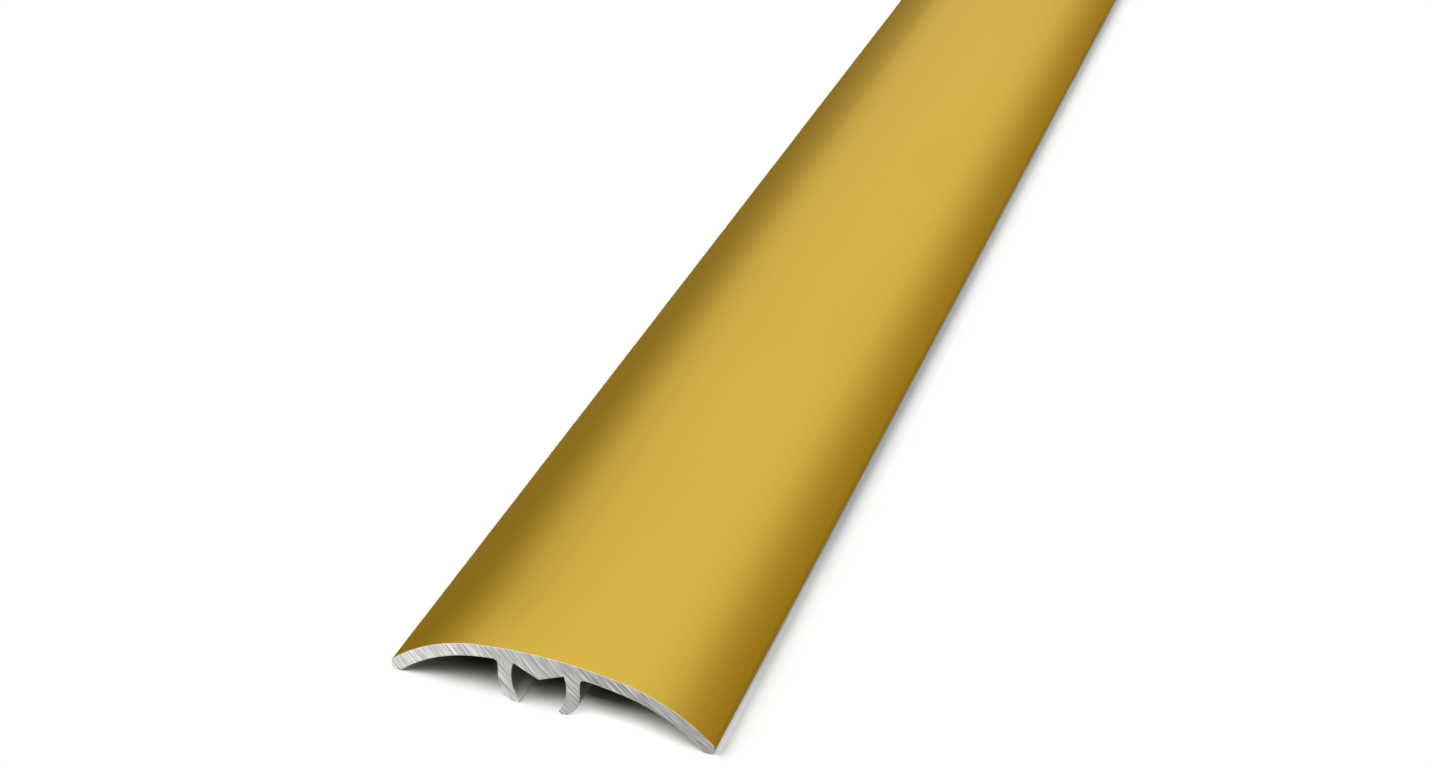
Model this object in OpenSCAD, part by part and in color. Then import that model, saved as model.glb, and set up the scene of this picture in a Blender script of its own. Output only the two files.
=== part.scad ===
// Domed threshold strip with a hidden ball-stud fixing, after fitting.
// One extruded cover strip, five ball-headed drive-in studs and five
// nylon floor plugs.
//
// Frame: millimetres, +Z up, the strip runs along Y, X is across it.
// Z = 0 is the finished floor, on which the two long edges rest.
// X = 0, Y = 0 is the middle of the strip. Left is -X, right is +X.

/* [Cover strip] */
// Length of the strip, sawn end to sawn end
strip_length = 730; // [660:10:2700]
// Width over the two rounded edges
strip_width = 41; // [40:0.5:43]
// Thickness of the domed wall
wall = 1.8; // [1.6:0.1:2]
// Outer radius of the middle of the dome
crown_r = 55; // [50:1:60]
// Half of the angle that the middle arc spans, in degrees
crown_half_angle = 9.5; // [9:0.25:10]
// Outer radius of the two shoulders of the dome
shoulder_r = 21.2; // [20.8:0.2:22]

/* [Fixing channel] */
// Distance of the channel's middle from the strip's middle, to the left
channel_offset = 1.3; // [0:0.1:1.6]
// Half of the inside width at its widest
channel_half_w = 3.45; // [3.4:0.05:3.55]
// Inside radius of each side wall
channel_side_r = 6.6; // [6.4:0.1:7]
// Height of the widest point above the floor
channel_wide_z = 3.8; // [3.7:0.05:3.9]
// Half of the outside width
channel_outer_half_w = 5.2; // [5.1:0.05:5.4]
// Outside radius of the inward-curling legs
channel_curl_r = 4.2; // [4.1:0.05:4.4]
// Height at which the legs begin to curl
channel_curl_z = 3.4; // [3.3:0.05:3.5]
// Radius on the two lips
lip_r = 0.3; // [0.2:0.05:0.35]
// Height of the tip of the V-shaped rib above the floor
rib_tip_z = 4.26; // [4.25:0.01:4.35]
// Slope of the rib's flanks, in degrees
rib_slope = 25.4; // [24:0.2:26]
// Fillet where the legs meet the dome
root_fillet = 0.6; // [0.4:0.1:0.8]

/* [Fixings] */
// Distance between neighbouring fixings
fixing_pitch = 150; // [120:5:150]
// Height of the stud heads' centres, which is the tilt axis
axis_z = 2.9; // [2.88:0.01:2.92]
// Radius of the ball head
ball_r = 3.2; // [3.1:0.02:3.22]
// Height of the flat on the head above the ball's centre
ball_flat = 1.2; // [1:0.05:1.22]
// Radius of the smooth neck
neck_r = 1.5; // [1.3:0.05:1.6]
// Radius over the rings of the shank
ring_r = 1.75; // [1.7:0.01:1.76]
// Number of rings on the shank
ring_count = 11; // [6:1:12]
// Length of the stud below the ball's centre
stud_len = 29.9; // [28:0.1:32]

/* [Floor plugs] */
// Thickness of the floor covering above the screed
floor_build = 8; // [6:0.5:10]
// Radius of the plug, for a 6 mm drilled hole
plug_r = 3; // [3:0.25:3.5]
// Depth of the plug in the screed
plug_len = 30; // [30:1:35]
// Radius of the collar that stops the plug at the screed
collar_r = 4.2; // [4:0.1:5]
// Thickness of the collar
collar_h = 0.9; // [0.6:0.1:1.2]
// Radius of the plug's bore, which clears the stud's rings
plug_bore_r = 1.8; // [1.8:0.01:1.83]
// Width of the expansion slot
slot_w = 1; // [0.6:0.1:1.2]

/* [Hidden] */

// Dome: crown arc, two shoulder arcs and two rounded edges, all tangent.
// Angles run anticlockwise from +X; edge_angle alone is from the vertical.
edge_r = wall / 2;
edge_x = strip_width / 2 - edge_r;
shoulder_x = (crown_r - shoulder_r) * sin(crown_half_angle);
edge_angle = asin((edge_x - shoulder_x) / (shoulder_r - edge_r));
// Heights of the arcs' centres that bring the edges down to Z = 0
shoulder_cz = edge_r - (shoulder_r - edge_r) * cos(edge_angle);
crown_cz = shoulder_cz - (crown_r - shoulder_r) * cos(crown_half_angle);
crown_centre = [0, crown_cz];
under_r = crown_r - wall;

// Channel: distances across it are measured outwards from its middle
channel_x = -channel_offset;
side_cx = channel_half_w - channel_side_r;
curl_cx = channel_outer_half_w - channel_curl_r;
fillet_cx = channel_outer_half_w + root_fillet;

// Each lip touches both the floor and the inside of its side wall
lip_cx = side_cx + sqrt(pow(channel_side_r + lip_r, 2) - pow(channel_wide_z - lip_r, 2));
lip_angle = atan2(lip_r - channel_wide_z, lip_cx - side_cx);

// Rib with a rounded tip
rib_r = 0.2;
rib_cz = rib_tip_z + rib_r;
// Signed distance of the flank from the side wall's centre, positive above it
flank_distance = (rib_cz - channel_wide_z) * cos(rib_slope) + side_cx * sin(rib_slope) - rib_r;
// Angle on the side wall's arc at which the flank meets it
flank_angle = rib_slope + asin(flank_distance / channel_side_r);

// Y of fixing i, counted from 1; the third is in the middle
function fix_y(i) = (i - 3) * fixing_pitch;

// Points on an arc, which leave out its end unless it is whole
function arc(centre, radius, start, end, steps, first = 0, whole = false) =
    [for (k = [first:whole ? steps : steps - 1])
        let (angle = start + (end - start) * k / steps)
        centre + radius * [cos(angle), sin(angle)]];
function reversed(points) = [for (k = [len(points) - 1:-1:0]) points[k]];

// In all that follows, side is 1 on the right and -1 on the left
function shoulder_centre(side) = [side * shoulder_x, shoulder_cz];
function edge_centre(side) = [side * edge_x, edge_r];

// The fillet between a leg and the dome: its centre's place, and the angle
// about the crown's centre at which it touches the underside
function fillet_x(side) = channel_x + side * fillet_cx;
function fillet_z(side) =
    crown_cz + sqrt(pow(under_r - root_fillet, 2) - pow(fillet_x(side), 2));
function fillet_angle(side) = atan2(fillet_z(side) - crown_cz, fillet_x(side));

// One leg from its fillet down, round the lip and up to the rib
function leg_outline(side) = concat(
    arc([fillet_cx, fillet_z(side)], root_fillet,
        side > 0 ? fillet_angle(side) : 180 - fillet_angle(side), 180, 6, whole = true),
    arc([curl_cx, channel_curl_z], channel_curl_r,
        0, -asin(channel_curl_z / channel_curl_r), 14, whole = true),
    arc([lip_cx, lip_r], lip_r, 270, lip_angle + 180, 6),
    arc([side_cx, channel_wide_z], channel_side_r, lip_angle, flank_angle, 18, whole = true));

function placed_leg(side) =
    [for (point = leg_outline(side)) [channel_x + side * point[0], point[1]]];

// The whole section in X and Z, clockwise from the underside of the left edge
function section() = let (
        crown_left = 90 + crown_half_angle,
        crown_right = 90 - crown_half_angle,
        edge_left = 90 + edge_angle,
        edge_right = 90 - edge_angle)
    concat(
        // Outside
        arc(edge_centre(-1), edge_r, edge_left + 180, edge_left, 16),
        arc(shoulder_centre(-1), shoulder_r, edge_left, crown_left, 34),
        arc(crown_centre, crown_r, crown_left, crown_right, 24),
        arc(shoulder_centre(1), shoulder_r, crown_right, edge_right, 34),
        arc(edge_centre(1), edge_r, edge_right, edge_right - 180, 16),
        // Underside, with the channel in the middle
        arc(shoulder_centre(1), shoulder_r - wall, edge_right, crown_right, 30),
        arc(crown_centre, under_r, crown_right, fillet_angle(1), 6),
        placed_leg(1),
        arc([channel_x, rib_cz], rib_r, 270 + rib_slope, 270 - rib_slope, 4, whole = true),
        reversed(placed_leg(-1)),
        arc(crown_centre, under_r, fillet_angle(-1), crown_left, 4, first = 1),
        arc(shoulder_centre(-1), shoulder_r - wall, crown_left, edge_left, 30));

module cover_strip() {
    color("#CFA63B")
    rotate([90, 0, 0])
        linear_extrude(height = strip_length, center = true)
            polygon(section());
}

// Ball-headed stud of fixing i; its heights are from the ball's centre
module ball_stud(i) {
    neck_top = -1; // inside the ball
    ring_top = -9;
    ring_pitch = 1.5;
    ring_root_r = ring_r - 0.3;
    crest_start = 0.15; // the crest's two ends, below the top of each ring
    crest_end = 0.45;
    taper_top = ring_top - ring_count * ring_pitch - 1;
    point_r = 0.35;
    point_h = 0.15;
    cut_w = 10; // block that cuts the flat
    cut_h = 5;
    color("#B9BDC2")
    translate([channel_x, fix_y(i), axis_z]) {
        difference() {
            sphere(r = ball_r, $fn = 96);
            translate([-cut_w / 2, -cut_w / 2, ball_flat]) cube([cut_w, cut_w, cut_h]);
        }
        rotate_extrude($fn = 64)
            polygon(concat(
                [[0, neck_top], [neck_r, neck_top], [neck_r, ring_top]],
                [for (k = [0:ring_count - 1]) let (z = ring_top - k * ring_pitch) each [
                    [ring_r, z - crest_start],
                    [ring_r, z - crest_end],
                    [ring_root_r, z - ring_pitch]]],
                [[ring_root_r, taper_top], [point_r, -stud_len + point_h], [0, -stud_len]]));
    }
}

// Nylon plug of fixing i; its heights are from the screed, under its collar
module floor_plug(i) {
    collar_chamfer = 0.25;
    body_end = -7.9; // lower end of the smooth body
    teeth = 9;
    tooth_pitch = 2;
    tooth_top = -8.5;
    tooth_bottom = tooth_top - teeth * tooth_pitch;
    tooth_land = 0.6;
    groove_h = 0.5;
    groove_r = plug_r - 0.35;
    nose_r = 1.95;
    bore_bottom = -plug_len + 2;
    bore_top = 4; // clear of the collar
    sink_depth = 0.5; // 45-degree countersink
    sink_h = 0.7;
    slot_top = -7;
    slot_bottom = tooth_bottom + 1;
    slot_half_len = plug_r + 1;
    color("#E9E6DC")
    translate([channel_x, fix_y(i), -floor_build])
    difference() {
        rotate_extrude($fn = 72)
            polygon(concat(
                [[0, collar_h], [collar_r - collar_chamfer, collar_h],
                 [collar_r, collar_h - collar_chamfer],
                 [collar_r, 0], [plug_r, 0], [plug_r, body_end]],
                [for (k = [0:teeth - 1]) let (z = tooth_top - k * tooth_pitch) each [
                    [groove_r, z + groove_h],
                    [groove_r, z],
                    [plug_r, z],
                    [plug_r, z - tooth_land]]],
                [[groove_r, tooth_bottom + groove_h], [groove_r, tooth_bottom],
                 [nose_r, -plug_len], [0, -plug_len]]));
        translate([0, 0, bore_bottom])
            cylinder(r = plug_bore_r, h = bore_top - bore_bottom, $fn = 64);
        translate([0, 0, collar_h - sink_depth])
            cylinder(r1 = plug_bore_r, r2 = plug_bore_r + sink_h, h = sink_h, $fn = 64);
        translate([-slot_half_len, -slot_w / 2, slot_bottom])
            cube([2 * slot_half_len, slot_w, slot_top - slot_bottom]);
    }
}

cover_strip();
ball_stud(1);  // ball_stud_1
ball_stud(2);  // ball_stud_2
ball_stud(3);  // ball_stud_3
ball_stud(4);  // ball_stud_4
ball_stud(5);  // ball_stud_5
floor_plug(1);  // floor_plug_1
floor_plug(2);  // floor_plug_2
floor_plug(3);  // floor_plug_3
floor_plug(4);  // floor_plug_4
floor_plug(5);  // floor_plug_5
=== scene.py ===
"""A gold anodised cover strip on a studio floor, with its ball studs and floor plugs.

The strip is an arched aluminium extrusion lying along Y on the floor plane z = 0, with a
two-legged channel under the arch. Its near sawn end is at low y, and +X is to the right.
"""
from math import asin, atan2, cos, degrees, pi, radians, sin, sqrt, tan

import bpy
import bmesh
from mathutils import Matrix, Vector
from mathutils.geometry import delaunay_2d_cdt


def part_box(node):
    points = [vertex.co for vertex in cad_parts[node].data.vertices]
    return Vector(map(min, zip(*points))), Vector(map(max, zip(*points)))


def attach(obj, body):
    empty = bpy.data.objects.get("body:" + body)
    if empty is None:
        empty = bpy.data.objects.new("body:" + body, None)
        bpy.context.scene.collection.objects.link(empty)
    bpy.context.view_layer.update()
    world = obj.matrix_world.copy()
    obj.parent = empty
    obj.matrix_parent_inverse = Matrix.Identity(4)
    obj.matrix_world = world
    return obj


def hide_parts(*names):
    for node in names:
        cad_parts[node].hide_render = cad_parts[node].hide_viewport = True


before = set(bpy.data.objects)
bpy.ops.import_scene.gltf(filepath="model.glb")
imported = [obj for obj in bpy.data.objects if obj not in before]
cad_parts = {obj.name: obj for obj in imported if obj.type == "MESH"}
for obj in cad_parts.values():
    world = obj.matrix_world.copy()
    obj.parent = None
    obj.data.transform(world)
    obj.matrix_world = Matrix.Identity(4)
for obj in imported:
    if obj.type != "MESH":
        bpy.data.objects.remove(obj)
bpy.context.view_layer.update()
MM = 0.001
scene = bpy.context.scene

LO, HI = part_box("cover_strip")
STUD_LO, STUD_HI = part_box("ball_stud_3")
CHANNEL_X = (STUD_LO.x + STUD_HI.x) / 2 / MM      # the channel's middle, mm


# ---------------------------------------------------------------- node help
def rgba(colour):
    """A grey level or a colour with alpha added; a socket comes back as it is."""
    if isinstance(colour, float):
        colour = (colour,) * 3
    return (*colour, 1) if isinstance(colour, tuple) else colour


class Tree:
    """Adds nodes to a node tree; inputs may be values or sockets to link from."""

    def __init__(self, node_tree):
        self.node_tree = node_tree
        node_tree.nodes.clear()

    def add(self, kind, inputs=None, **props):
        node = self.node_tree.nodes.new("ShaderNode" + kind)
        for key, value in props.items():
            setattr(node, key, value)
        for key, value in (inputs or {}).items():
            if isinstance(value, bpy.types.NodeSocket):
                self.node_tree.links.new(value, node.inputs[key])
            else:
                node.inputs[key].default_value = value
        return node

    def coords(self, kind="Object"):
        return self.add("TexCoord").outputs[kind]

    def xyz(self, vector):
        return self.add("SeparateXYZ", {0: vector}).outputs

    def math(self, operation, a, b=0.0):
        return self.add("Math", {0: a, 1: b, 2: 0.0}, operation=operation).outputs[0]

    def plus(self, a, b):
        return self.math("ADD", a, b)

    def times(self, a, b):
        return self.math("MULTIPLY", a, b)

    def weigh(self, a, a_weight, b, b_weight):
        return self.plus(self.times(a, a_weight), self.times(b, b_weight))

    def vec(self, operation, a, b=(0, 0, 0), output="Vector"):
        return self.add("VectorMath", {0: a, 1: b}, operation=operation).outputs[output]

    def scaled(self, vector, factor):
        return self.add("VectorMath", {0: vector, "Scale": factor}, operation="SCALE").outputs[0]

    def noise(self, vector, scale, detail=2.0, rough=0.5):
        return self.add("TexNoise", {"Vector": vector, "Scale": scale, "Detail": detail,
                                     "Roughness": rough}).outputs["Fac"]

    def ramp(self, factor, *stops):
        """A linear colour ramp; each stop is (position, colour or grey level)."""
        node = self.add("ValToRGB", {"Fac": factor})
        elements = node.color_ramp.elements
        while len(elements) > 1:
            elements.remove(elements[-1])
        elements[0].position = stops[0][0]
        elements[0].color = rgba(stops[0][1])
        for position, colour in stops[1:]:
            elements.new(position).color = rgba(colour)
        return node.outputs["Color"]

    def span(self, value, source, to=(0.0, 1.0), smooth=False):
        """Carries the value from the source range to another, clamped at its ends."""
        node = self.add("MapRange", {"Value": value, "From Min": source[0],
                                     "From Max": source[1], "To Min": to[0], "To Max": to[1]})
        if smooth:
            node.interpolation_type = "SMOOTHSTEP"
        return node.outputs["Result"]

    def mix(self, factor, a, b):
        """Colour a at factor 0, colour b at 1."""
        # A colour mix uses the sockets 6 and 7, and output 2
        return self.add("Mix", {0: factor, 6: rgba(a), 7: rgba(b)}, data_type="RGBA").outputs[2]

    def surface(self, base, rough, height, strength, depth, metallic=0.0, extra=None):
        """The principled surface and its bump; depth is the bump's distance in metres."""
        bump = self.add("Bump", {"Strength": strength, "Distance": depth, "Height": height})
        shader = self.add("BsdfPrincipled", {
            "Base Color": base, "Metallic": metallic, "Roughness": rough,
            "Normal": bump.outputs["Normal"], **(extra or {})})
        self.add("OutputMaterial", {"Surface": shader.outputs[0]})


def new_material(name):
    material = bpy.data.materials.new(name)
    material.use_nodes = True
    tree = Tree(material.node_tree)
    return material, tree, tree.coords()


# ---------------------------------------------------------------- materials
def gold_material():
    material, tree, place = new_material("gold_anodised")
    # Long soft drawing lines from the die, finest across the strip
    lines = tree.noise(tree.vec("MULTIPLY", place, (1.0, 0.004, 1.0)),
                       scale=900.0, detail=3.0, rough=0.6)
    broad = tree.noise(tree.vec("MULTIPLY", place, (1.0, 0.02, 1.0)), scale=140.0)
    cloud = tree.noise(place, scale=22.0, detail=3.0, rough=0.55)
    etch = tree.noise(place, scale=5200.0, rough=0.6)
    tone = tree.plus(tree.times(lines, 0.30), tree.weigh(broad, 0.35, cloud, 0.35))
    base = tree.ramp(tone, (0.30, (0.672, 0.454, 0.064)), (0.50, (0.690, 0.470, 0.068)),
                     (0.70, (0.704, 0.483, 0.072)))
    rough = tree.plus(tree.span(lines, (0.3, 0.7), to=(0.285, 0.315)),
                      tree.span(etch, (0.3, 0.7), to=(-0.012, 0.012)))
    tree.surface(base, rough, height=tree.weigh(lines, 0.5, etch, 0.5),
                 strength=0.06, depth=0.00002, metallic=1.0,
                 extra={"Specular Tint": (0.94, 0.86, 0.68, 1.0)})
    return material


def sawn_material():
    """Bare aluminium as the mitre saw leaves it: arcs of fine scratches."""
    blade_centre = (0.0557, 0.0, 0.058)
    material, tree, place = new_material("sawn_aluminium")
    # Distance from the blade's centre, so that the scratches are long arcs
    blade = tree.vec("MULTIPLY", tree.vec("SUBTRACT", place, blade_centre), (1.0, 0.0, 1.0))
    radius = tree.vec("LENGTH", blade, output="Value")
    blade_x, _, blade_z = tree.xyz(blade)
    turn = tree.math("ARCTAN2", blade_z, blade_x)
    drift = tree.noise(place, scale=90.0, detail=1.0)
    radius = tree.plus(radius, tree.times(drift, 0.0008))
    scratch = tree.add("CombineXYZ", {0: radius, 1: tree.times(turn, 0.0045), 2: 0.0}).outputs[0]
    fine = tree.noise(scratch, scale=4100.0, detail=1.0, rough=0.6)
    medium = tree.noise(scratch, scale=1900.0, detail=1.0, rough=0.6)
    coarse = tree.noise(scratch, scale=420.0, rough=0.6)
    patch = tree.noise(place, scale=260.0)
    tone = tree.plus(tree.weigh(fine, 0.62, medium, 0.20), tree.weigh(coarse, 0.08, patch, 0.10))
    base = tree.ramp(tone, (0.37, (0.33, 0.32, 0.305)), (0.45, (0.475, 0.465, 0.45)),
                     (0.51, (0.60, 0.592, 0.578)), (0.565, (0.71, 0.70, 0.685)),
                     (0.64, (0.96, 0.96, 0.95)))
    # Painted shade: paler at the left, greyer towards the right-hand edge, as the light falls
    # from the left
    side = tree.span(tree.xyz(place)[0], (-0.018, 0.020))
    painted_side_shade = tree.ramp(side, (0.0, (1.20, 1.20, 1.19)), (0.30, (1.02, 1.02, 1.00)),
                        (0.60, (0.74, 0.735, 0.735)), (1.0, (0.63, 0.625, 0.63)))
    base = tree.vec("MINIMUM", tree.vec("MULTIPLY", base, painted_side_shade), (1.0, 1.0, 1.0))
    # Painted highlight: a pale gold glint on the broken upper corner, where the face turns
    # upwards
    upward = tree.xyz(tree.add("NewGeometry").outputs["True Normal"])[2]
    base = tree.mix(tree.span(upward, (0.15, 0.4), smooth=True), base, (0.88, 0.74, 0.40))
    rough = tree.span(tone, (0.35, 0.65), to=(0.58, 0.42))
    tree.surface(base, rough, height=tone, strength=0.35, depth=0.00004, metallic=0.2)
    return material


def inside_material():
    """The inside of the profile: die lines again, under a thin, dull, greyer layer, with painted
    shade and light on the legs.
    """
    lip_reach = 0.0054          # the legs lie within this distance of the channel's middle
    material, tree, place = new_material("dull_anodised_with_painted_shade")
    lines = tree.noise(tree.vec("MULTIPLY", place, (1.0, 0.004, 1.0)),
                       scale=1300.0, detail=3.0, rough=0.6)
    cloud = tree.noise(place, scale=60.0, detail=3.0, rough=0.55)
    base = tree.ramp(tree.weigh(lines, 0.55, cloud, 0.45), (0.32, (0.44, 0.42, 0.36)),
                     (0.50, (0.50, 0.48, 0.42)), (0.68, (0.56, 0.54, 0.48)))
    # The two legs: painted shade, darker up towards their roots, and painted light, paler and
    # less metallic towards their tips, most near the open ends
    x, y, z = tree.xyz(place)
    offset = tree.math("ABSOLUTE", tree.math("SUBTRACT", x, CHANNEL_X * MM))
    lip = tree.math("LESS_THAN", offset, lip_reach)
    painted_leg_shade = tree.ramp(tree.span(z, (0.0, 0.006)), (0.0, 1.0), (0.12, 0.95), (0.28, 0.60),
                          (0.50, 0.38), (0.75, 0.24), (1.0, 0.21))
    from_end = tree.math("MINIMUM", tree.math("SUBTRACT", y, LO.y),
                         tree.math("SUBTRACT", HI.y, y))
    painted_tip_light = tree.times(tree.span(z, (0.0004, 0.0021), to=(1.0, 0.0)),
                     tree.span(from_end, (0.0, 0.006), to=(1.0, 0.12)))
    tip_lit_base = tree.mix(painted_tip_light, base, (0.86, 0.855, 0.84))
    base = tree.mix(lip, base, tree.vec("MULTIPLY", tip_lit_base, painted_leg_shade))
    metallic = tree.math("SUBTRACT", 1.0, tree.times(lip, tree.times(painted_tip_light, 0.9)))
    rough = tree.span(lines, (0.3, 0.7), to=(0.36, 0.46))
    tree.surface(base, rough, height=lines, strength=0.12, depth=0.00003, metallic=metallic)
    return material


def zinc_material():
    material, tree, place = new_material("zinc_steel")
    grain = tree.noise(place, scale=900.0, detail=3.0, rough=0.6)
    cloud = tree.noise(place, scale=180.0)
    base = tree.ramp(tree.weigh(grain, 0.5, cloud, 0.5), (0.3, (0.50, 0.51, 0.54)),
                     (0.5, (0.62, 0.63, 0.65)), (0.7, (0.72, 0.72, 0.70)))
    rough = tree.span(grain, (0.3, 0.7), to=(0.22, 0.36))
    tree.surface(base, rough, height=grain, strength=0.15, depth=0.00003, metallic=1.0)
    return material


def nylon_material():
    material, tree, place = new_material("nylon")
    grain = tree.noise(place, scale=1400.0, detail=3.0, rough=0.6)
    cloud = tree.noise(place, scale=120.0)
    base = tree.ramp(cloud, (0.3, (0.74, 0.71, 0.62)), (0.7, (0.84, 0.82, 0.74)))
    rough = tree.span(grain, (0.3, 0.7), to=(0.38, 0.52))
    tree.surface(base, rough, height=grain, strength=0.2, depth=0.00004,
                 extra={"Subsurface Weight": 0.15, "Subsurface Scale": 0.5,
                        "Subsurface Radius": (0.002, 0.0016, 0.0012)})
    return material


GOLD = gold_material()
SAWN = sawn_material()
INSIDE = inside_material()
ZINC = zinc_material()
NYLON = nylon_material()


# ---------------------------------------------------------------- the strip
EDGE_STEPS, SHOULDER_STEPS, CROWN_STEPS = 20, 60, 40
# From this outline point on, four steps in from the right-hand edge, the finish is dull
INSIDE_START = 2 * EDGE_STEPS + 2 * SHOULDER_STEPS + CROWN_STEPS + 4
LENGTH_STEPS = 74
# The broken edge at each sawn end: (distance from the end, inset of the outline), mm
BROKEN_EDGE = [(0.0, 0.07), (0.035, 0.025)]
FULL_SECTION = 0.10         # distance from the end where the outline is whole, mm


def arc(centre, radius, start, end, steps, last=False):
    """Points on an arc between two angles in degrees; the end point only if last is set."""
    points = []
    for i in range(steps + 1 if last else steps):
        angle = radians(start + (end - start) * i / steps)
        points.append((centre[0] + radius * cos(angle), centre[1] + radius * sin(angle)))
    return points


def strip_section():
    """The extrusion's outline as (x, z) in mm, clockwise from the left-hand edge."""
    # The arched plate: a shallow crown, a tighter shoulder each side, half-round edges
    width = (HI.x - LO.x) / MM
    if abs(width - 41.0) < 0.01:        # drops the rounding noise of the nominal width
        width = 41.0
    wall = 1.8
    crown_r, crown_half = 55.0, 9.5     # outer radius, half its angle in degrees
    shoulder_r = 21.2
    edge_r = wall / 2
    under_r = crown_r - wall
    shoulder_x = (crown_r - shoulder_r) * sin(radians(crown_half))
    shoulder_rise = (crown_r - shoulder_r) * cos(radians(crown_half))
    edge_angle = degrees(asin((width / 2 - edge_r - shoulder_x) / (shoulder_r - edge_r)))
    crown_z = edge_r - shoulder_rise - (shoulder_r - edge_r) * cos(radians(edge_angle))
    edge_x = shoulder_x + (shoulder_r - edge_r) * sin(radians(edge_angle))
    shoulder_z = crown_z + shoulder_rise

    # The channel; its x values are measured outwards from the channel's middle
    socket_half, socket_r, socket_z = 3.45, 6.6, 3.8    # hollow inner side of each leg
    outer_half, outer_r, outer_z = 5.2, 4.2, 3.4        # rounded outer side of each leg
    lip_r = 0.3                                         # the leg's tip
    fillet_r = 0.6                                      # leg to underside of the crown
    ridge_bottom, ridge_slope, ridge_r = 4.26, 25.4, 0.2    # blunt ridge in the roof
    socket_x, outer_x = socket_half - socket_r, outer_half - outer_r
    lip_x = socket_x + sqrt((socket_r + lip_r) ** 2 - (socket_z - lip_r) ** 2)
    lip_angle = degrees(atan2(lip_r - socket_z, lip_x - socket_x))
    ridge_z = ridge_bottom + ridge_r

    # Where the ridge's sloping face, z = face_z + rise * x, meets the socket's circle
    rise = tan(radians(ridge_slope))
    face_z = ridge_z - ridge_r / cos(radians(ridge_slope))
    square = 1 + rise * rise
    linear = 2 * (rise * (face_z - socket_z) - socket_x)
    constant = socket_x * socket_x + (face_z - socket_z) ** 2 - socket_r * socket_r
    face_x = (-linear + sqrt(linear * linear - 4 * square * constant)) / (2 * square)
    face_angle = degrees(atan2(face_z + rise * face_x - socket_z, face_x - socket_x))

    def fillet(side):
        """The fillet centre's height, and its angle about the crown's centre."""
        fillet_x = CHANNEL_X + side * (outer_half + fillet_r)
        fillet_z = crown_z + sqrt((under_r - fillet_r) ** 2 - fillet_x * fillet_x)
        return fillet_z, degrees(atan2(fillet_z - crown_z, fillet_x))

    def leg(side):
        """One leg from its outer fillet round the tip to the roof; side is 1 or -1."""
        fillet_z, angle = fillet(side)
        start = angle if side > 0 else 180 - angle
        outer_sweep = degrees(asin(outer_z / outer_r))
        points = (arc((outer_half + fillet_r, fillet_z), fillet_r, start, 180, 8, last=True)
                  + arc((outer_x, outer_z), outer_r, 0, -outer_sweep, 20, last=True)
                  + arc((lip_x, lip_r), lip_r, 270, lip_angle + 180, 8)
                  + arc((socket_x, socket_z), socket_r, lip_angle, face_angle, 26, last=True))
        return [(CHANNEL_X + side * x, z) for x, z in points]

    left, right = (-shoulder_x, shoulder_z), (shoulder_x, shoulder_z)
    crown = (0, crown_z)
    edge_low, edge_high = 90 - edge_angle, 90 + edge_angle
    crown_low, crown_high = 90 - crown_half, 90 + crown_half
    shoulder_under = shoulder_r - wall
    return (arc((-edge_x, edge_r), edge_r, 270 + edge_angle, edge_high, EDGE_STEPS)
            + arc(left, shoulder_r, edge_high, crown_high, SHOULDER_STEPS)
            + arc(crown, crown_r, crown_high, crown_low, CROWN_STEPS)
            + arc(right, shoulder_r, crown_low, edge_low, SHOULDER_STEPS)
            + arc((edge_x, edge_r), edge_r, edge_low, -90 - edge_angle, EDGE_STEPS)
            + arc(right, shoulder_under, edge_low, crown_low, 48)
            + arc(crown, under_r, crown_low, fillet(1)[1], 8)
            + leg(1)
            + arc((CHANNEL_X, ridge_z), ridge_r, 270 + ridge_slope, 270 - ridge_slope, 6,
                  last=True)
            + leg(-1)[::-1]
            + arc(crown, under_r, fillet(-1)[1], crown_high, 8)[1:]
            + arc(left, shoulder_under, crown_high, edge_high, 48))


def inset(points, distance):
    """The outline moved inwards by the distance in mm."""
    moved = []
    for i, point in enumerate(points):
        before, here = Vector(points[i - 1]), Vector(point)
        after = Vector(points[(i + 1) % len(points)])
        arrive, leave = (here - before).normalized(), (after - here).normalized()
        # The outline is clockwise, so the right-hand side is inside
        shift = Vector((arrive.y, -arrive.x)) + Vector((leave.y, -leave.x))
        shift = shift / max(shift.length_squared, 1e-9) * 2
        if shift.length > 2.0:
            shift = shift.normalized() * 2.0
        moved.append(tuple(here + shift * distance))
    return moved


def add_object(name, bm, *materials):
    mesh = bpy.data.meshes.new(name)
    bm.to_mesh(mesh)
    bm.free()
    for material in materials:
        mesh.materials.append(material)
    ob = bpy.data.objects.new(name, mesh)
    scene.collection.objects.link(ob)
    return ob


def strip_rings():
    """The outlines along the strip: (y in metres, points in mm)."""
    section = strip_section()
    start, end = LO.y, HI.y
    rings = [(start + y * MM, inset(section, depth)) for y, depth in BROKEN_EDGE]
    rings.append((start + FULL_SECTION * MM, section))
    for i in range(1, LENGTH_STEPS):
        rings.append((start + (end - start) * i / LENGTH_STEPS, section))
    rings.append((end - FULL_SECTION * MM, section))
    rings += [(end - y * MM, inset(section, depth)) for y, depth in reversed(BROKEN_EDGE)]
    return rings


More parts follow.
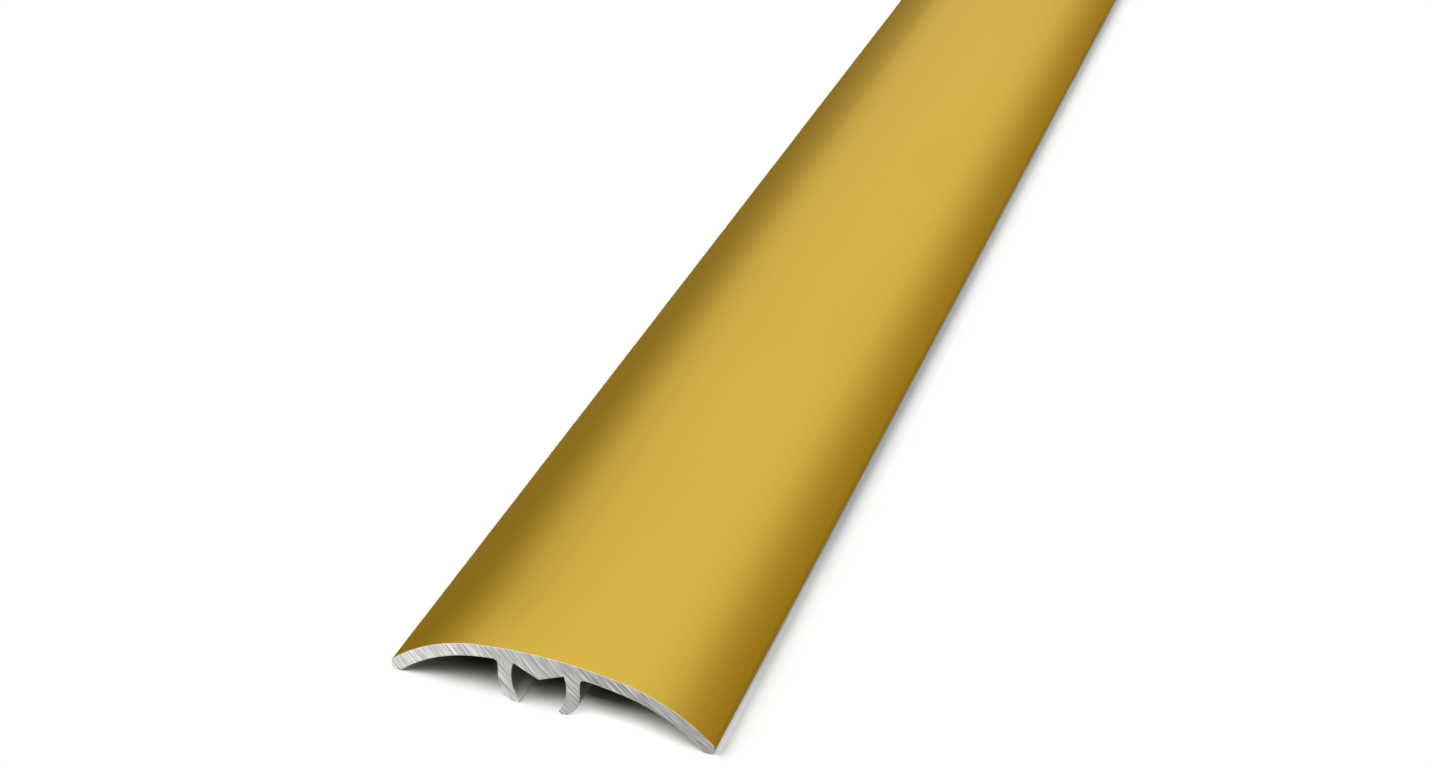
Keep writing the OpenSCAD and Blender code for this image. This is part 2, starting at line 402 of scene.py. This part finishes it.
def build_strip():
    gold, sawn, inside = range(3)       # material slots
    rings = strip_rings()
    bm = bmesh.new()
    rows = [[bm.verts.new((x * MM, y, z * MM)) for x, z in points] for y, points in rings]
    count = len(rows[0])
    for j in range(len(rows) - 1):
        for i in range(count):
            k = (i + 1) % count
            face = bm.faces.new((rows[j][i], rows[j][k], rows[j + 1][k], rows[j + 1][i]))
            face.smooth = True
            if j in (0, len(rows) - 2):
                face.material_index = sawn
            else:
                face.material_index = inside if i >= INSIDE_START else gold

    # The sawn faces: one triangulation of the end outline serves both ends
    flat = [Vector(point) for point in rings[0][1]]
    outline = list(range(count))[::-1]
    points, _, triangles, *_ = delaunay_2d_cdt(flat, [], [outline], 1, 1e-6)

    def nearest(point):
        return min(range(count), key=lambda i: (flat[i] - point).length_squared)

    for row in (rows[0], rows[-1]):
        for triangle in triangles:
            face = bm.faces.new([row[nearest(points[corner])] for corner in triangle])
            face.material_index = sawn
    bmesh.ops.recalc_face_normals(bm, faces=bm.faces)
    ob = add_object("strip_body", bm, GOLD, SAWN, INSIDE)
    # Sharp where the section has a true corner and round the sawn faces
    ob.data.set_sharp_from_angle(angle=radians(32))
    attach(ob, "cover")
    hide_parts("cover_strip")


build_strip()

for name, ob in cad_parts.items():
    if name.startswith("ball_stud"):
        material = ZINC
    elif name.startswith("floor_plug"):
        material = NYLON
    else:
        material = GOLD
    ob.data.materials.clear()
    ob.data.materials.append(material)


# ---------------------------------------------------------------- the stage
def floor_material():
    """White floor, with its own look in reflections and clear from below."""
    open_light = (0.80, 0.80, 0.81)
    warm_dark = (0.35, 0.295, 0.105)
    material, tree, place = new_material("studio_floor")
    grain = tree.noise(place, scale=300.0)
    x, y, _ = tree.xyz(place)
    base = tree.ramp(grain, (0.3, 0.90), (0.7, 0.92))
    # The shadow along the right-hand edge is deeper and cooler than the soft light makes it
    occlusion = tree.add("AmbientOcclusion", {"Distance": 0.003}, samples=3)
    near = tree.math("SUBTRACT", 1.0, occlusion.outputs["AO"])
    outside = tree.times(tree.span(x, (HI.x - 0.0002, HI.x + 0.0002), smooth=True),
                         tree.times(near, 2.7))
    along = tree.ramp(tree.span(y, (LO.y, LO.y + 0.2)),
                      (0.0, 0.0), (0.05, 0.0), (0.08, 0.10), (0.17, 0.10), (0.24, 0.30),
                      (0.50, 0.33), (0.65, 0.20), (1.0, 0.19))
    fade = tree.vec("MULTIPLY", (1.03, 1.0, 0.93), tree.times(outside, along))
    base = tree.vec("MULTIPLY", base, tree.vec("SUBTRACT", (1.0, 1.0, 1.0), fade))
    # Painted light: under the arch the floor's colour is tinted a little warm, standing in for
    # the light that has come off the metal
    under = tree.span(tree.math("ABSOLUTE", x), (0.0185, 0.0200), to=(1.0, 0.0), smooth=True)
    warmth = tree.times(under, tree.span(tree.math("ABSOLUTE", y), (0.3655, 0.3600)))
    base = tree.vec("MULTIPLY", base, tree.mix(warmth, (1.0, 1.0, 1.0), (1.0, 0.985, 0.83)))
    diffuse = tree.add("BsdfDiffuse", {"Color": base}).outputs[0]

    # In a reflection the floor reads as the dark side of the studio; from below, as light
    path = tree.add("LightPath").outputs
    below = tree.math("GREATER_THAN", path["Transparent Depth"], 0.5)
    # Under the strip it falls into shade within a few millimetres of the open ends
    far = tree.math("ABSOLUTE", y)
    shade = tree.ramp(tree.span(far, (0.353, 0.365)),
                      (0.0, (0.010, 0.010, 0.009)), (0.19, (0.016, 0.016, 0.014)),
                      (0.275, (0.025, 0.025, 0.022)), (0.35, (0.036, 0.036, 0.032)),
                      (0.44, (0.055, 0.055, 0.050)), (0.667, (0.13, 0.13, 0.12)),
                      (0.833, (0.36, 0.36, 0.35)), (1.0, 0.80))
    dark = tree.mix(under, warm_dark, shade)
    dark = tree.mix(tree.span(far, (0.3645, 0.3665), smooth=True), dark, open_light)
    reflected = tree.add("Emission", {
        "Color": tree.mix(below, dark, open_light),
        "Strength": tree.math("LESS_THAN", path["Diffuse Depth"], 0.5)})

    # Painted light: the floor glows a little under the right side of the arch, about the near
    # end
    painted_arch_light = tree.times(
        tree.span(y, (LO.y + 0.0047, LO.y + 0.0008), to=(0.0, 0.62), smooth=True),
        tree.span(y, (LO.y - 0.010, LO.y - 0.004), smooth=True))
    painted_arch_light = tree.times(painted_arch_light, tree.times(tree.span(x, (0.0014, 0.0030), smooth=True),
                                       tree.span(x, (0.0040, 0.0175), to=(1.0, 0.0))))
    # and painted light, a glow on the floor, lifts the line of contact along the right-hand edge
    # where the strip is near
    edge = tree.times(tree.span(x, (HI.x - 0.0014, HI.x - 0.0002), smooth=True),
                      tree.span(x, (HI.x, HI.x + 0.0006), to=(1.0, 0.0), smooth=True))
    edge = tree.times(edge, tree.ramp(tree.span(y, (LO.y, LO.y + 0.05)), (0.0, 0.17),
                                      (0.15, 0.15), (0.35, 0.10), (1.0, 0.06)))
    lift = tree.plus(painted_arch_light, tree.times(edge, tree.times(near, 3.5)))
    glow = tree.add("Emission", {"Color": (1.0, 1.0, 0.985, 1.0),
                                 "Strength": tree.times(lift, path["Is Camera Ray"])})
    lit = tree.add("AddShader", {0: diffuse, 1: glow.outputs[0]}).outputs[0]
    top = tree.add("MixShader", {0: path["Is Glossy Ray"], 1: lit, 2: reflected.outputs[0]})
    clear = tree.add("BsdfTransparent")
    back = tree.add("NewGeometry").outputs["Backfacing"]
    both = tree.add("MixShader", {0: back, 1: top.outputs[0], 2: clear.outputs[0]})
    tree.add("OutputMaterial", {"Surface": both.outputs[0]})
    return material


def build_floor():
    material = floor_material()
    bm = bmesh.new()
    bmesh.ops.create_grid(bm, x_segments=4, y_segments=4, size=6.0)
    ob = add_object("studio_floor", bm, material)
    ob.location = (0, 0, -0.00004)      # just clear of the strip's underside


build_floor()

# The softbox as reflections see it, round the strip's axis:
# (degrees from overhead towards +X, colour)
SOFTBOX = [(-180, (0.34, 0.285, 0.105)), (-110, (0.31, 0.26, 0.085)),
           (-85, (0.345, 0.292, 0.12)), (-58, (0.582, 0.537, 0.425)), (-36, 1.0), (10, 1.0),
           (26, (0.90, 0.868, 0.775)), (50, (0.53, 0.448, 0.205)),
           (75, (0.388, 0.314, 0.085)), (180, (0.34, 0.285, 0.105))]

# The diffuse light: (direction, tightness, amount, tint, shielded from the front)
LOBES = [((0.0, -0.25, 1.0), 40.0, 6.5, (1.0, 1.0, 0.995), False),
         ((-0.08, -0.445, 0.892), 44.0, 5.24, (1.0, 1.0, 0.995), False),
         ((-1.0, -0.5, 1.0), 24.0, 6.27, (1.0, 0.998, 0.995), False),
         ((-1.0, 0.0, 1.0), 24.0, 1.9, (1.0, 0.998, 0.995), False),
         ((-0.84, -0.22, 0.48), 12.0, 2.07, (1.0, 0.998, 0.995), True),
         ((3.2, -0.6, 1.0), 12.0, 2.0, (1.0, 1.0, 1.0), False)]


def softbox_light(tree, x, y, z):
    """Reflections: a long softbox overhead, running the length of the strip."""
    middle = radians(14.0)
    angle = tree.math("ARCTAN2", x, z)
    # It stands at a finite distance, so its apparent width changes along the strip
    widening = tree.span(y, (0.66, 0.86), to=(1.12, 0.94))
    angle = tree.plus(tree.times(tree.math("SUBTRACT", angle, middle), widening), middle)
    stops = [((turn + 180.0) / 360.0, colour) for turn, colour in SOFTBOX]
    box = tree.ramp(tree.span(angle, (-pi, pi)), *stops)
    # Beyond the two ends of the softbox the studio is warm and dimmer
    ends = tree.span(tree.math("ABSOLUTE", y), (0.93, 0.985), smooth=True)
    box = tree.vec("MULTIPLY", box, tree.mix(ends, (1.0, 1.0, 1.0), (0.76, 0.58, 0.26)))
    low = tree.span(z, (-0.25, -0.50), smooth=True)
    return tree.mix(low, box, (0.95, 0.95, 0.96))


def diffuse_light(tree, direction, y, z):
    """White light from overhead and both sides, even below the floor."""
    total = None
    for axis, tightness, amount, tint, shielded in LOBES:
        facing = tree.vec("DOT_PRODUCT", direction, tuple(Vector(axis).normalized()), "Value")
        facing = tree.math("POWER", tree.math("MAXIMUM", facing, 0.0), tightness)
        lobe = tree.scaled(tint, tree.times(facing, amount))
        if shielded:
            lobe = tree.scaled(lobe, tree.span(y, (-0.72, -0.36), smooth=True))
        total = tree.vec("ADD", total, lobe) if total else lobe
    return tree.mix(tree.span(z, (-0.02, -0.10)), total, (0.60, 0.60, 0.61))


def build_world():
    world = bpy.data.worlds.new("studio")
    scene.world = world
    world.use_nodes = True
    world.cycles.sampling_method = "NONE"
    tree = Tree(world.node_tree)
    direction = tree.coords("Generated")
    x, y, z = tree.xyz(direction)
    glossy = softbox_light(tree, x, y, z)
    diffuse = diffuse_light(tree, direction, y, z)
    path = tree.add("LightPath").outputs
    sharp = tree.times(path["Is Glossy Ray"], tree.math("LESS_THAN", path["Diffuse Depth"], 0.5))
    colour = tree.mix(sharp, diffuse, glossy)
    colour = tree.mix(path["Is Camera Ray"], colour, (1.0, 1.0, 1.0))
    background = tree.add("Background", {"Color": colour, "Strength": 1.0})
    tree.add("OutputWorld", {"Surface": background.outputs[0]})


build_world()

scene.view_settings.view_transform = "Standard"
scene.view_settings.look = "None"
scene.view_settings.exposure = 0.0
scene.view_settings.gamma = 1.0


# ---------------------------------------------------------------- the camera
def build_camera():
    """Above the near end and to its right, looking down along the strip."""
    camera = bpy.data.cameras.new("camera")
    camera.sensor_fit = "HORIZONTAL"
    camera.sensor_width = 36.0
    camera.lens = 51.64014
    camera.clip_start, camera.clip_end = 0.01, 50.0
    ob = bpy.data.objects.new("camera", camera)
    right = Vector((0.93968, 0.34071, 0.03040)).normalized()
    back = Vector((0.27204, -0.79824, 0.53741))
    back = (back - right * back.dot(right)).normalized()
    pose = Matrix((right, back.cross(right), back)).transposed().to_4x4()
    pose.translation = Vector((0.0, LO.y, 0.0)) + Vector((0.07540, -0.16536, 0.16115))
    ob.matrix_world = pose
    scene.collection.objects.link(ob)
    scene.camera = ob


build_camera()
